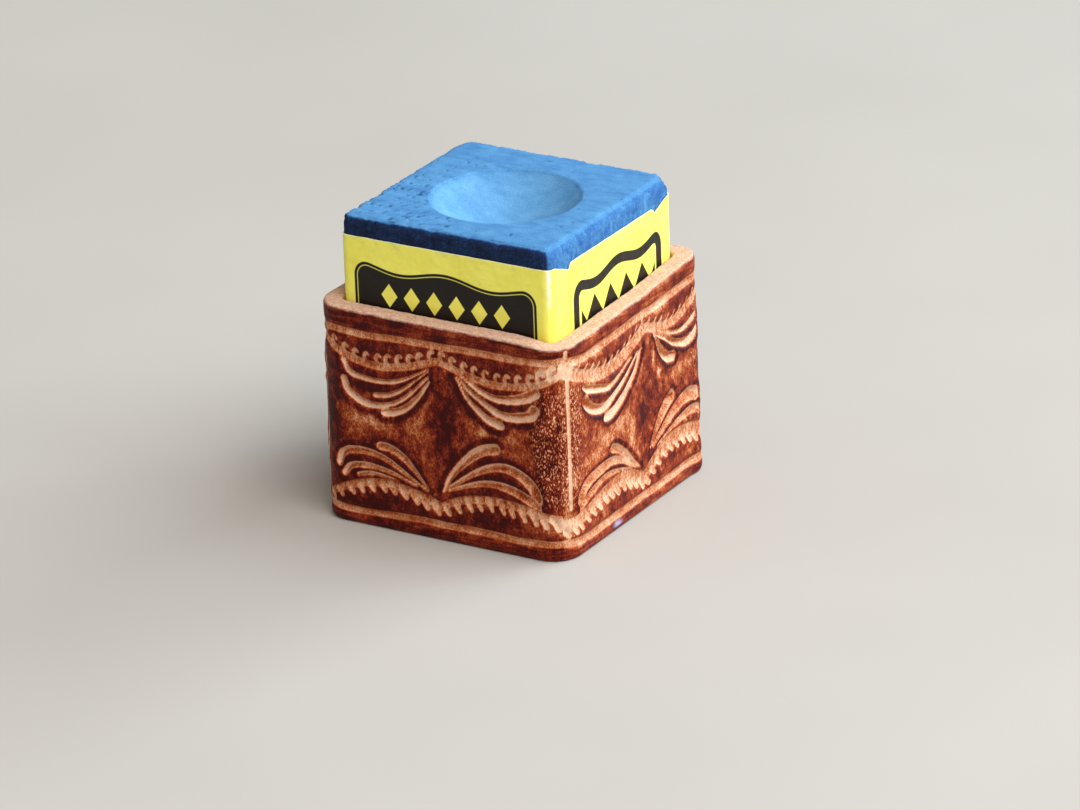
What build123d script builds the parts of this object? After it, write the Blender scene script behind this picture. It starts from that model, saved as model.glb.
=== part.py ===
from build123d import *
import os

# Cube of billiard cue chalk in a hand-tooled leather holder, in millimetres.
# +Z is up. The origin is the centre of the holder's base, on the surface it stands on.
# The seam of the leather strip is in the middle of the +Y side.

# Chalk and its paper label
chalk_side = 22.2  # the usual 7/8 inch cube
chalk_corner = 0.8
chalk_edge_round = 0.35
dish_radius = 7.1  # cup worn and moulded into the top for the cue tip
dish_depth = 3.2
dish_rim_round = 0.2
label_paper = 0.15
label_below_top = 1.85  # bare chalk above the label's straight edges
tab_below_top = 2.2  # bare chalk above the glued tabs on the -X and +X sides
tab_half_width = 7.8
tab_corner = 0.6

# Leather sleeve
socket_clearance = 0.17  # between the label and the leather, each side
socket_corner = 1.0
sleeve_wall = 1.95
sleeve_height = 21.4
sleeve_corner = 3.0
top_edge_round = 0.45
bottom_edge_round = 0.6
inner_edge_round = 0.2
border_width = 0.8  # tooled border lines near the top and bottom edges
border_depth = 0.3
upper_border_z = 19.55
lower_border_z = 2.0

# Laced seam
seam_gap = 0.1
stitch_count = 6
stitch_pitch = 2.9
first_stitch_z = 3.4
stitch_half_gap = 2.4
stitch_hole_radius = 0.5
thread_radius = 0.35
thread_bend = 0.45
thread_lift = 0.37  # thread centre above the leather's outer face
thread_sink = 0.43  # thread centre below the leather's inner face
lace_groove_depth = 0.85
lace_groove_width = 0.9
lace_groove_length = 5.8

# Base stack inside the sleeve, from the floor up
pad_gap = 0.02  # glue line between a pad and the sleeve, each side
floor_thickness = 2.2
magnet_radius = 9.525  # 3/4 inch disc
magnet_thickness = 3.175  # 1/8 inch
magnet_chamfer = 0.3
magnet_gap = 0.075
cover_thickness = 2.0

label_side = chalk_side + 2 * label_paper
socket_side = label_side + 2 * socket_clearance
sleeve_side = socket_side + 2 * sleeve_wall
pad_side = socket_side - 2 * pad_gap
pad_corner = socket_corner - pad_gap
magnet_bottom = floor_thickness
cover_bottom = magnet_bottom + magnet_thickness
label_bottom = cover_bottom + cover_thickness
chalk_bottom = label_bottom + label_paper
chalk_top = chalk_bottom + chalk_side
label_top = chalk_top - label_below_top
tab_top = chalk_top - tab_below_top
stitch_rows = [first_stitch_z + row * stitch_pitch for row in range(stitch_count)]

# Outer and inner faces of the seam side; a sketch on either one looks towards the chalk.
seam_outside = Plane.XZ.offset(-sleeve_side / 2)
seam_inside = Plane.XZ.offset(-socket_side / 2)

os.makedirs("parts", exist_ok=True)


# Sleeve: one strip of leather bent round the chalk, its two ends meeting edge to edge.
with BuildPart() as sleeve:
    with BuildSketch():
        RectangleRounded(sleeve_side, sleeve_side, sleeve_corner)
        RectangleRounded(socket_side, socket_side, socket_corner, mode=Mode.SUBTRACT)
    extrude(amount=sleeve_height)
    rim = sleeve.faces().sort_by(Axis.Z)[-1]
    fillet(rim.outer_wire().edges(), radius=top_edge_round)
    foot = sleeve.faces().sort_by(Axis.Z)[0]
    fillet(foot.outer_wire().edges(), radius=bottom_edge_round)
    rim = sleeve.faces().sort_by(Axis.Z)[-1]
    fillet(rim.inner_wires()[0].edges(), radius=inner_edge_round)

    # Border lines, pressed right round the outside
    for border_z in (lower_border_z, upper_border_z):
        with BuildSketch(Plane.XY.offset(border_z - border_width / 2)):
            Rectangle(2 * sleeve_side, 2 * sleeve_side)
            RectangleRounded(
                sleeve_side - 2 * border_depth,
                sleeve_side - 2 * border_depth,
                sleeve_corner - border_depth,
                mode=Mode.SUBTRACT,
            )
        extrude(amount=border_width, mode=Mode.SUBTRACT)

    # Stitch holes, and the grooves that sink the lacing below the inner face
    with BuildSketch(seam_outside):
        with Locations(*[(x, z) for x in (-stitch_half_gap, stitch_half_gap) for z in stitch_rows]):
            Circle(stitch_hole_radius)
    extrude(amount=sleeve_wall, mode=Mode.SUBTRACT)
    with BuildSketch(seam_inside):
        with Locations(*[(0, z) for z in stitch_rows]):
            Rectangle(lace_groove_length, lace_groove_width)
    extrude(amount=-lace_groove_depth, mode=Mode.SUBTRACT)

    # The seam itself
    with BuildSketch(seam_outside):
        with Locations((0, sleeve_height / 2)):
            Rectangle(seam_gap, 2 * sleeve_height)
    extrude(amount=sleeve_wall, mode=Mode.SUBTRACT)

sleeve.part.label = "sleeve"
export_step(sleeve.part, "parts/sleeve.step")


# Seam thread: one waxed thread, level on the inside and climbing a row at a time outside.
inside_y = socket_side / 2 + thread_sink
outside_y = sleeve_side / 2 + thread_lift
lace_points = []
for row, z in enumerate(stitch_rows):
    if row > 0:
        lace_points.append(Vector(stitch_half_gap, outside_y, z))
    lace_points.append(Vector(stitch_half_gap, inside_y, z))
    lace_points.append(Vector(-stitch_half_gap, inside_y, z))
    if row < stitch_count - 1:
        lace_points.append(Vector(-stitch_half_gap, outside_y, z))

with BuildPart() as seam_thread:
    with BuildLine():
        reached = lace_points[0]
        for before, corner, after in zip(lace_points, lace_points[1:], lace_points[2:]):
            arriving = (corner - before).normalized()
            leaving = (after - corner).normalized()
            bend_start = corner - arriving * thread_bend
            bend_end = corner + leaving * thread_bend
            Line(reached, bend_start)
            TangentArc(bend_start, bend_end, tangent=arriving)
            reached = bend_end
        Line(reached, lace_points[-1])
    with BuildSketch(Plane(origin=lace_points[0], z_dir=lace_points[1] - lace_points[0])):
        Circle(thread_radius)
    sweep()

seam_thread.part.label = "seam_thread"
export_step(seam_thread.part, "parts/seam_thread.step")


# Floor pad: the leather base, flush with the foot of the sleeve.
with BuildPart() as floor_pad:
    with BuildSketch():
        RectangleRounded(pad_side, pad_side, pad_corner)
    extrude(amount=floor_thickness)

floor_pad.part.label = "floor_pad"
export_step(floor_pad.part, "parts/floor_pad.step")


# Magnet spacer: leather as thick as the magnet, with a round window for it.
with BuildPart() as magnet_spacer:
    with BuildSketch(Plane.XY.offset(magnet_bottom)):
        RectangleRounded(pad_side, pad_side, pad_corner)
        Circle(magnet_radius + magnet_gap, mode=Mode.SUBTRACT)
    extrude(amount=magnet_thickness)

magnet_spacer.part.label = "magnet_spacer"
export_step(magnet_spacer.part, "parts/magnet_spacer.step")


# Magnet: a plated disc.
with BuildPart() as magnet:
    with BuildSketch(Plane.XY.offset(magnet_bottom)):
        Circle(magnet_radius)
    extrude(amount=magnet_thickness)
    chamfer(magnet.edges().filter_by(GeomType.CIRCLE), length=magnet_chamfer)

magnet.part.label = "magnet"
export_step(magnet.part, "parts/magnet.step")


# Magnet cover: the leather that the chalk stands on.
with BuildPart() as magnet_cover:
    with BuildSketch(Plane.XY.offset(cover_bottom)):
        RectangleRounded(pad_side, pad_side, pad_corner)
    extrude(amount=cover_thickness)

magnet_cover.part.label = "magnet_cover"
export_step(magnet_cover.part, "parts/magnet_cover.step")


# Chalk: a pressed cube with a shallow spherical cup in its top.
dish_sphere = (dish_radius**2 + dish_depth**2) / (2 * dish_depth)
with BuildPart() as chalk_block:
    with BuildSketch(Plane.XY.offset(chalk_bottom)):
        RectangleRounded(chalk_side, chalk_side, chalk_corner)
    extrude(amount=chalk_side)
    fillet(chalk_block.faces().sort_by(Axis.Z)[-1].edges(), radius=chalk_edge_round)
    with Locations((0, 0, chalk_top - dish_depth + dish_sphere)):
        Sphere(dish_sphere, mode=Mode.SUBTRACT)
    rim_circles = chalk_block.faces().sort_by(Axis.Z)[-1].inner_wires()[0].edges()
    fillet(rim_circles, radius=dish_rim_round)

chalk_block.part.label = "chalk_block"
export_step(chalk_block.part, "parts/chalk_block.step")


# Paper label: folded up round the cube from a square bottom panel. The -Y and +Y panels carry
# corner flaps, whose sloping edges run down to the round-cornered tabs on the -X and +X sides.
flap_start = chalk_side / 2 - chalk_corner
tab_shoulder = tab_top - tab_corner
tab_flat = tab_half_width - tab_corner
with BuildPart() as paper_label:
    with BuildSketch(Plane.XY.offset(label_bottom)):
        RectangleRounded(label_side, label_side, chalk_corner + label_paper)
    extrude(amount=label_top - label_bottom)
    with BuildSketch(Plane.XY.offset(chalk_bottom)):
        RectangleRounded(chalk_side, chalk_side, chalk_corner)
    extrude(amount=chalk_side, mode=Mode.SUBTRACT)
    with BuildSketch(Plane.YZ):
        with BuildLine():
            Polyline(
                (-tab_half_width, tab_shoulder),
                (-flap_start, label_top),
                (-flap_start, chalk_top),
                (flap_start, chalk_top),
                (flap_start, label_top),
                (tab_half_width, tab_shoulder),
            )
            TangentArc((tab_half_width, tab_shoulder), (tab_flat, tab_top), tangent=(0, 1))
            Line((tab_flat, tab_top), (-tab_flat, tab_top))
            TangentArc((-tab_flat, tab_top), (-tab_half_width, tab_shoulder), tangent=(-1, 0))
        make_face()
    extrude(amount=label_side, both=True, mode=Mode.SUBTRACT)

paper_label.part.label = "paper_label"
export_step(paper_label.part, "parts/paper_label.step")
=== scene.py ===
import math

import bpy
import numpy as np
from mathutils import Matrix, Vector, noise


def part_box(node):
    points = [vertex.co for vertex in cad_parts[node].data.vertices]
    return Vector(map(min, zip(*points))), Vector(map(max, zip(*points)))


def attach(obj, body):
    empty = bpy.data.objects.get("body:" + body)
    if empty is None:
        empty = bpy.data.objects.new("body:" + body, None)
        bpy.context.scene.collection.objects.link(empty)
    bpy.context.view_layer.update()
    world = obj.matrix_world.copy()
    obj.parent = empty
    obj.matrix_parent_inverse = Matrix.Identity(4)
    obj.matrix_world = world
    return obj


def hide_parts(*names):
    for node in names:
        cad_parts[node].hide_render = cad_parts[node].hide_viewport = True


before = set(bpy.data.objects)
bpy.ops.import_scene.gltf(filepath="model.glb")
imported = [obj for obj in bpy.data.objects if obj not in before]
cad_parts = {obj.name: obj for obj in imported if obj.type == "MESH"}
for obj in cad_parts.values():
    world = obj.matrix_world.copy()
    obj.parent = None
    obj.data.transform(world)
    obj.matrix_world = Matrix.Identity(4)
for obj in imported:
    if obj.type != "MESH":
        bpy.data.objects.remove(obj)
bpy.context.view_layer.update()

# Lengths below are in millimetres, and become metres where a mesh is made.
MM = 0.001
CAD = {name: [np.array(corner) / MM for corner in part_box(name)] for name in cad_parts}


def extent(node):
    """Half a CAD node's width, and its lowest and highest height."""
    low, high = CAD[node]
    return high[0], low[2], high[2]


# The sleeve
HALF, _, HEIGHT = extent("sleeve")
CORNER = 3.0
WALL = 1.95
SEAM_GAP = 0.1
QUARTER = 2 * (HALF - CORNER) + math.pi / 2 * CORNER  # arc length of one side, corner to corner
LENGTH = 4 * QUARTER
SKIN = 0.1  # the plain surface lies this far inside the ridges beside tool marks
TOP_ROUND = 0.45
FOOT_ROUND = 0.6
INNER_ROUND = 0.2
STRIP_STEPS = 621  # columns along the outside. The inside has a third of them
FACE_ROWS = 122

# The sides in the order that the strip goes round them, from the seam
BACK, LEFT, FRONT, RIGHT = 0, 1, 2, 3
OUTWARD = np.array([(0, 1), (-1, 0), (0, -1), (1, 0)], float)
ALONG = np.array([(-1, 0), (0, -1), (1, 0), (0, 1)], float)

# Lacing
STITCH_ROWS = [3.4 + 2.9 * row for row in range(6)]
STITCH_SIDE = 2.4
STITCH_HOLE = 0.5
THREAD = 0.35  # its radius
THREAD_BEND = 0.45
THREAD_LIFT = 0.37  # its middle lies this far outside the sleeve
THREAD_INSIDE = 11.85  # and this far from the sleeve's middle where it runs inside
THREAD_STEP = 0.11
THREAD_TWIST = 4.2  # length of one turn of its strands
LACE_GROOVE = (5.8, 0.9, 0.85)  # length, width and depth


# ---- mesh helpers
def smoothstep(low, high, x):
    """0 at low and 1 at high, which may be the smaller."""
    t = np.clip((x - low) / (high - low), 0, 1)
    return t * t * (3 - 2 * t)


def plateau(x, low, risen, falling, high):
    """0 at low, 1 from risen to falling, and 0 again at high."""
    return smoothstep(low, risen, x) * (1 - smoothstep(falling, high, x))


def grain(points, scale, octaves=2, seed=0.0):
    """Smooth noise from about -1 to 1 at points in millimetres, scale features per millimetre."""
    at = np.asarray(points, float) * scale + np.array((17.3, -5.1, 9.7)) * seed
    return np.array([noise.fractal(Vector(p), 1.0, 2.0, octaves) for p in at])


def show(name, data):
    """Puts a mesh, light or camera into the scene."""
    thing = bpy.data.objects.new(name, data)
    bpy.context.scene.collection.objects.link(thing)
    return thing


def make_piece(name, verts, faces, material, body, replaces, attributes=None):
    """A mesh piece from points in millimetres, riding on a CAD body."""
    mesh = bpy.data.meshes.new(name)
    mesh.from_pydata((np.asarray(verts, float) * MM).tolist(), [], faces)
    mesh.validate()
    mesh.materials.append(material)
    mesh.polygons.foreach_set("use_smooth", [True] * len(mesh.polygons))
    for key, values in (attributes or {}).items():
        layer = mesh.attributes.new(key, "FLOAT", "POINT")
        layer.data.foreach_set("value", np.asarray(values, np.float32))
    mesh.update()
    piece = show(name, mesh)
    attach(piece, body)
    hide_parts(*replaces)


def bridge(row_a, row_b, closed):
    """Faces between two rows of point numbers. An open row may have a third of the other's steps."""
    if len(row_a) == len(row_b):
        last = len(row_a) if closed else len(row_a) - 1
        pairs = [(i, (i + 1) % len(row_a)) for i in range(last)]
        return [(row_a[i], row_a[j], row_b[j], row_b[i]) for i, j in pairs]
    if len(row_a) < len(row_b):
        return [face[::-1] for face in bridge(row_b, row_a, closed)]
    faces = []
    for j in range(len(row_b) - 1):
        a, b = row_a[3 * j : 3 * j + 4], row_b[j : j + 2]
        faces += [(a[0], a[1], b[0]), (a[1], a[2], b[1], b[0]), (a[2], a[3], b[1])]
    return faces


def stack_rings(rings, meet=False):
    """A closed skin over rings of points, whose two ends meet each other or close on their centres."""
    count = len(rings[0])
    rows = [list(range(n * count, (n + 1) * count)) for n in range(len(rings))]
    faces = []
    for a, b in zip(rows, rows[1:] + rows[:1] if meet else rows[1:]):
        faces += bridge(a, b, closed=True)
    if meet:
        return np.vstack(rings), faces
    first, last = rows[0], rows[-1]
    hub = len(rings) * count
    around = [(i, (i + 1) % count) for i in range(count)]
    faces += [(first[j], first[i], hub) for i, j in around]
    faces += [(last[i], last[j], hub + 1) for i, j in around]
    return np.vstack([*rings, rings[0].mean(axis=0), rings[-1].mean(axis=0)]), faces


def square_length(half, corner):
    """The way round a square with rounded corners."""
    return 8 * (half - corner) + 2 * math.pi * corner


def off_middle(s, quarter):
    """How far arc length s is past the middle of its side."""
    return (s + quarter / 2) % quarter - quarter / 2


def round_square(s, half, corner, inset=0.0):
    """Points at arc length s, from the back's middle, round a square with rounded corners."""
    quarter, flat = square_length(half, corner) / 4, half - corner
    side = np.floor(s / quarter + 0.5).astype(int) % 4
    v = off_middle(s, quarter)
    turn = np.sign(v) * np.maximum(np.abs(v) - flat, 0) / corner
    out = flat + (corner - inset) * np.cos(turn)
    along = np.clip(v, -flat, flat) + (corner - inset) * np.sin(turn)
    return OUTWARD[side] * out[..., None] + ALONG[side] * along[..., None]


def at_height(flat, z):
    """Points over flat ones, at one height or at one each."""
    return np.column_stack([flat, np.broadcast_to(z, len(flat))])


def circle(angle):
    return np.column_stack([np.cos(angle), np.sin(angle)])


def rounding(radius, count):
    """Points down a rounded edge: how far each is from one face, and from the other."""
    turns = np.linspace(0, math.pi / 2, count)
    return [(radius * (1 - math.sin(turn)), radius * (1 - math.cos(turn))) for turn in turns]


def unpack(rings):
    """Rings of (places, height, value, other value) as points and two lists of a value for each."""
    count = len(rings[0][0])
    values = [np.concatenate([np.broadcast_to(ring[k], count) for ring in rings]) for k in (2, 3)]
    return np.vstack([at_height(ring[0], ring[1]) for ring in rings]), *values


def smooth_line(points, steps=5):
    """Points along a smooth curve through points."""
    p = np.asarray(points, float)
    p = np.vstack([2 * p[0] - p[1], p, 2 * p[-1] - p[-2]])
    t = np.linspace(0, 1, steps, endpoint=False)[:, None]
    runs = []
    for a, b, c, d in zip(p, p[1:], p[2:], p[3:]):
        square = 2 * a - 5 * b + 4 * c - d
        cube = 3 * b - a - 3 * c + d
        runs.append(0.5 * (2 * b + (c - a) * t + square * t**2 + cube * t**3))
    return np.vstack(runs + [p[-2:-1]])


# ---- materials
def srgb(*levels):
    """A 0 to 255 red, green and blue as the linear colour that a node takes."""
    linear = [c / 255 / 12.92 if c < 10.3 else ((c / 255 + 0.055) / 1.055) ** 2.4 for c in levels]
    return (*linear, 1.0)


def reckon(operation):
    """A method that adds a math node for a value and at most one other."""
    return lambda value, other=0.0: value.paint.math(operation, value, other)


class Value:
    """A node's output. Reckoning with it adds nodes."""

    def __init__(self, paint, socket):
        self.paint, self.socket = paint, socket

    __add__ = reckon("ADD")
    __sub__ = reckon("SUBTRACT")
    __mul__ = reckon("MULTIPLY")
    __truediv__ = reckon("DIVIDE")
    __mod__ = reckon("FLOORED_MODULO")
    __gt__ = reckon("GREATER_THAN")
    __lt__ = reckon("LESS_THAN")
    __abs__ = reckon("ABSOLUTE")
    larger = reckon("MAXIMUM")
    smaller = reckon("MINIMUM")
    fold = reckon("PINGPONG")
    root = reckon("SQRT")
    cosine = reckon("COSINE")
    sign = reckon("SIGN")

    def __rsub__(self, other):
        return self.paint.math("SUBTRACT", other, self)

    def spread(self, low, high, to_low=0.0, to_high=1.0):
        """Moves low to to_low and high to to_high, and goes no further."""
        return self.paint.node("ShaderNodeMapRange", {0: self, 1: low, 2: high, 3: to_low, 4: to_high})

    def within(self, middle, reach, soft=0.03):
        """1 closer to middle than reach."""
        return abs(self - middle).spread(reach + soft, reach - soft)

    def ramp(self, *stops):
        """A colour by value. Each stop is its value, then the colour's 0 to 255 red, green and blue."""
        made = self.paint.tree.nodes.new("ShaderNodeValToRGB")
        self.paint.tree.links.new(self.socket, made.inputs[0])
        while len(made.color_ramp.elements) < len(stops):
            made.color_ramp.elements.new(0.5)
        for element, (place, *levels) in zip(made.color_ramp.elements, stops):
            element.position, element.color = place, srgb(*levels)
        return Value(self.paint, made.outputs[0])


class Paint:
    """A material being made. Its methods add nodes. mm is the place on the piece in millimetres."""

    def __init__(self, name):
        self.material = bpy.data.materials.new(name)
        self.material.use_nodes = True
        self.tree = self.material.node_tree
        self.tree.nodes.clear()
        place = self.node("ShaderNodeTexCoord", {}, output="Object")
        self.mm = self.node("ShaderNodeVectorMath", {0: place, "Scale": 1 / MM}, operation="SCALE")

    def node(self, kind, inputs, output=0, **settings):
        """Adds a node. An input is a value, a number or a colour, or None to leave it alone."""
        made = self.tree.nodes.new(kind)
        for key, setting in settings.items():
            setattr(made, key, setting)
        for key, given in inputs.items():
            if isinstance(given, Value):
                self.tree.links.new(given.socket, made.inputs[key])
            elif given is not None:
                made.inputs[key].default_value = given
        return Value(self, made.outputs[output])

    def math(self, operation, a, b, clamp=False):
        return self.node("ShaderNodeMath", {0: a, 1: b}, operation=operation, use_clamp=clamp)

    def place(self):
        """The place on the piece as three values, in millimetres."""
        split = self.node("ShaderNodeSeparateXYZ", {0: self.mm}).socket.node
        return [Value(self, socket) for socket in split.outputs]

    def stored(self, name):
        """A number that the mesh stores at each point."""
        return self.node("ShaderNodeAttribute", {}, output="Fac", attribute_name=name)

    def stretched(self, stretch):
        return self.node("ShaderNodeVectorMath", {0: self.mm, 1: stretch}, operation="MULTIPLY")

    def noise(self, scale, detail=3.0, rough=0.55, stretch=(1, 1, 1), warp=0.0):
        inputs = {"Vector": self.stretched(stretch), "Scale": scale, "Detail": detail}
        inputs.update({"Roughness": rough, "Distortion": warp})
        return self.node("ShaderNodeTexNoise", inputs)

    def cells(self, scale, stretch=(1, 1, 1), feature="F1"):
        inputs = {"Vector": self.stretched(stretch), "Scale": scale}
        return self.node("ShaderNodeTexVoronoi", inputs, feature=feature)

    def between(self, amount, a, b):
        """Value a, going over to b by amount."""
        return self.node("ShaderNodeMix", {0: amount, 2: a, 3: b})

    def cover(self, amount, colour, new):
        """A colour, covered with a new one by amount."""
        inputs = {0: amount, 6: colour, 7: new}
        return self.node("ShaderNodeMix", inputs, output=2, data_type="RGBA")

    def relief(self, *layers):
        """Bumps over each other. Each is a height, its depth in millimetres, and its strength if not 1."""
        normal = None
        for height, depth, *strength in layers:
            inputs = {"Height": height, "Distance": depth * MM, "Strength": 1.0, "Normal": normal}
            inputs.update({"Strength": value for value in strength})
            normal = self.node("ShaderNodeBump", inputs)
        return normal

    def finish(self, colour, roughness, normal, specular=None, metallic=None):
        inputs = {"Base Color": colour, "Roughness": roughness, "Normal": normal}
        inputs.update({"Specular IOR Level": specular, "Metallic": metallic})
        shader = self.node("ShaderNodeBsdfPrincipled", inputs)
        output = self.tree.nodes.new("ShaderNodeOutputMaterial")
        self.tree.links.new(shader.socket, output.inputs["Surface"])
        return self.material


# What the sleeve's mesh stores: dye on the plain surface, with painted shade beside strokes and a painted
# sheen that pales some sides, dye in tool marks with painted highlight and shade across strokes, distance
# inside a mark's edge, open grain, raw cut edge and chalk dust
SLEEVE_LOOK = ("dye", "wash", "cut", "pores", "raw", "dust")


def tooled_leather():
    """Dye on the high surface, with painted shade beside strokes and a painted sheen on some sides, bare tan
    leather where tools pressed it, with painted highlight and shade across strokes, and raw cut edges.
    """
    paint = Paint("tooled_leather")
    # the stored dye carries painted shade and a painted sheen, and the stored wash carries painted highlight
    # and shade across strokes
    dye, wash, cut_in, pores, raw, dust = [paint.stored(name) for name in SLEEVE_LOOK]
    mottle = paint.noise(1.7, 6.0, 0.72, stretch=(1, 1, 0.7), warp=0.5)
    brushed = paint.noise(1.1, 5.0, 0.7, stretch=(0.3, 0.3, 2.2))
    fine = paint.noise(7.0, 3.0, 0.65, stretch=(1, 1, 0.6))
    dots = paint.noise(8.0, 2.0, 0.5, stretch=(1, 1, 0.4))
    fibre = paint.noise(3.2, 5.0, 0.7, warp=0.6)
    grained = paint.cells(5.5, stretch=(1, 1, 0.55), feature="SMOOTH_F1")

    # brush strokes run along the foot and the rim, and the dye is mottled between them
    up = paint.place()[2]
    rims = abs(up - 10.8).spread(8.3, 9.0)
    streaks = paint.between(rims, mottle, brushed)
    surface = dye + streaks.spread(0.38, 0.62, -0.19, 0.19)
    surface = surface - pores * dots.spread(0.54, 0.6, 0.0, 0.72)
    hollow = wash + streaks.spread(0.38, 0.62, -0.1, 0.1)
    pressed = (cut_in + fine.spread(0.3, 0.7, -0.06, 0.06)).spread(-0.05, 0.07)
    cover = paint.between(pressed, surface, hollow)
    cover = paint.math("ADD", cover, fine.spread(0.35, 0.65, -0.15, 0.15), clamp=True)
    colour = cover.ramp(
        (0.0, 230, 184, 152),
        (0.2, 209, 147, 109),
        (0.4, 176, 94, 48),
        (0.58, 142, 54, 24),
        (0.8, 104, 24, 11),
        (1.0, 60, 8, 5),
    )
    cut_edge = fibre.ramp((0.3, 184, 132, 104), (0.5, 216, 170, 142), (0.72, 236, 200, 176))
    colour = paint.cover(raw, colour, cut_edge)
    colour = paint.cover(dust, colour, srgb(176, 170, 205))

    normal = paint.relief((grained, 0.035), (fine, 0.05), (fibre, 0.12, raw.spread(0, 1, 0.1, 1.0)))
    rough = raw * 0.3 + cover.spread(0.2, 0.9, 0.6, 0.46)
    rough = paint.math("ADD", rough, streaks.spread(0.3, 0.7, -0.06, 0.06), clamp=True)
    return paint.finish(colour, rough, normal, specular=0.11)


def plain_leather():
    """Natural leather: smooth grain above, cut fibres at the sides."""
    paint = Paint("plain_leather")
    cloud = paint.noise(0.35, 5.0, 0.65)
    fibre = paint.noise(5.0, 5.0, 0.75, warp=0.8)
    pores = paint.cells(3.6)
    tone = fibre * 0.55 + cloud * 0.45 - pores.spread(0.16, 0.02, 0.0, 0.16)
    colour = tone.ramp((0.3, 146, 98, 62), (0.42, 176, 126, 84), (0.52, 198, 150, 106), (0.66, 220, 178, 134))
    return paint.finish(colour, fibre.spread(0.3, 0.7, 0.72, 0.9), paint.relief((pores, 0.07), (fibre, 0.1)))


def waxed_thread():
    """Brown thread with fine hairs under its wax."""
    paint = Paint("waxed_thread")
    hairs = paint.noise(14.0, 3.0, 0.6)
    patches = paint.noise(0.8, 2.0)
    tone = hairs * 0.6 + patches * 0.4
    colour = tone.ramp((0.3, 64, 36, 22), (0.5, 98, 60, 38), (0.7, 134, 92, 62))
    return paint.finish(colour, hairs.spread(0.3, 0.7, 0.42, 0.6), paint.relief((hairs, 0.03)))


def nickel_plating():
    """Bright plating with fine scratches one way."""
    paint = Paint("nickel_plating")
    scratches = paint.noise(3.0, 4.0, 0.6, stretch=(0.4, 3.0, 1))
    colour = paint.noise(0.5, 3.0).ramp((0.35, 196, 192, 184), (0.65, 222, 219, 212))
    rough = scratches.spread(0.3, 0.7, 0.14, 0.34)
    return paint.finish(colour, rough, paint.relief((scratches, 0.004)), metallic=1.0)


def pressed_chalk():
    """Blue abrasive: powder on the top and in the cup, a dark moulded crust down the sides, and pits."""
    paint = Paint("pressed_chalk")
    powder, pit = paint.stored("powder"), paint.stored("pit")
    cloud = paint.noise(0.5, 4.0, 0.6)
    brushed = paint.noise(1.4, 4.0, 0.65, stretch=(0.35, 1.0, 1.0), warp=0.4)
    grit = paint.noise(7.0, 4.0, 0.7)
    speck = paint.noise(15.0, 2.0, 0.6)
    tone = powder + cloud.spread(0.3, 0.7, -0.06, 0.06)
    tone = tone + brushed.spread(0.3, 0.7, -0.06, 0.06)
    tone = tone + grit.spread(0.3, 0.7, -0.07, 0.07)
    colour = tone.ramp(
        (0.0, 15, 26, 50),
        (0.2, 28, 52, 94),
        (0.42, 48, 96, 158),
        (0.62, 83, 141, 188),
        (0.85, 112, 168, 208),
        (1.0, 131, 182, 219),
    )
    holes = pit.larger(speck.spread(0.3, 0.24, 0.0, 0.4))
    colour = paint.cover(holes, colour, srgb(18, 44, 88))
    crust = powder.spread(0.45, 0.3)
    grains = speck.spread(0.62, 0.7, 0.0, 0.5) * crust
    colour = paint.cover(grains, colour, srgb(128, 132, 160))
    normal = paint.relief((grit, 0.09, crust * 0.6 + 1.0), (speck, 0.05))
    return paint.finish(colour, 0.93, normal, specular=0.15)


# The print on the label, the same above and below its middle height
PRINT_MIDDLE = 17.6
PLAQUE = (9.7, 7.7, 1.6)  # half its width, its height above the middle, and its corners
OUTLINE = (8.1, 7.4, 1.8)
OUTLINE_SHIFT = 0.9  # to one side of the side's middle
SCALLOP = 0.38
LOZENGE_PITCH = 2.4
LOZENGE = (0.85, 1.15)  # half its width and half its height
LOZENGE_UP = 5.0
BALL_PITCH = 2.8  # half the way from one ball to the next
BALL_RADIUS = 1.8
TOOTH_HALF = 1.45
RING_RADIUS = 1.5
FACE_AT = 11.0  # a place further out than this is on the label's flat face
PRINT_FLAT = 10.4  # the sides' print stops here, before the bend


def hypotenuse(a, b):
    return (a * a + b * b).root()


def plaque_edge(across, height, half, tall, corner):
    """How far outside a plaque with a scalloped top a place is, in millimetres. Inside it is negative."""
    top = (across * (2 * math.pi / half)).cosine() * SCALLOP + tall
    beside = abs(across) + (corner - half)
    above = height - top + corner
    outside = hypotenuse(beside.larger(0.0), above.larger(0.0))
    inside = beside.larger(above).smaller(0.0)
    return outside + inside - corner


def front_print(x, height):
    """Ink in front and behind: a plaque less a fine line, two rows of lozenges and a row of balls."""
    plaque = plaque_edge(x, height, *PLAQUE)
    inner_line = plaque.within(-0.32, 0.05, soft=0.02) * 0.7
    step = abs(x % LOZENGE_PITCH - LOZENGE_PITCH / 2)
    lozenge = step / LOZENGE[0] + abs(height - LOZENGE_UP) / LOZENGE[1]
    lozenges = lozenge.spread(1.04, 0.98) * x.within(0.0, 7.2)
    ball = hypotenuse(x.fold(BALL_PITCH), height)
    balls = ball.spread(BALL_RADIUS + 0.03, BALL_RADIUS - 0.03) * x.within(0.0, 8.4)
    light = inner_line.larger(lozenges).larger(balls)
    return plaque.spread(0.03, -0.03) * (1.0 - light)


def side_print(x, y, height):
    """Ink at the sides: a thick outline round two saw-tooth rows and a ring."""
    across = y * x.sign() - OUTLINE_SHIFT
    edge = plaque_edge(across, height, *OUTLINE)
    saw = across.fold(TOOTH_HALF) * 1.5 + 3.3 - height
    teeth = saw.spread(-0.03, 0.03) * edge.spread(-1.35, -1.41) * height.spread(2.65, 2.71)
    ring = hypotenuse(across, height).within(RING_RADIUS, 0.35)
    return edge.within(-0.5, 0.5).larger(teeth).larger(ring)


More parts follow.
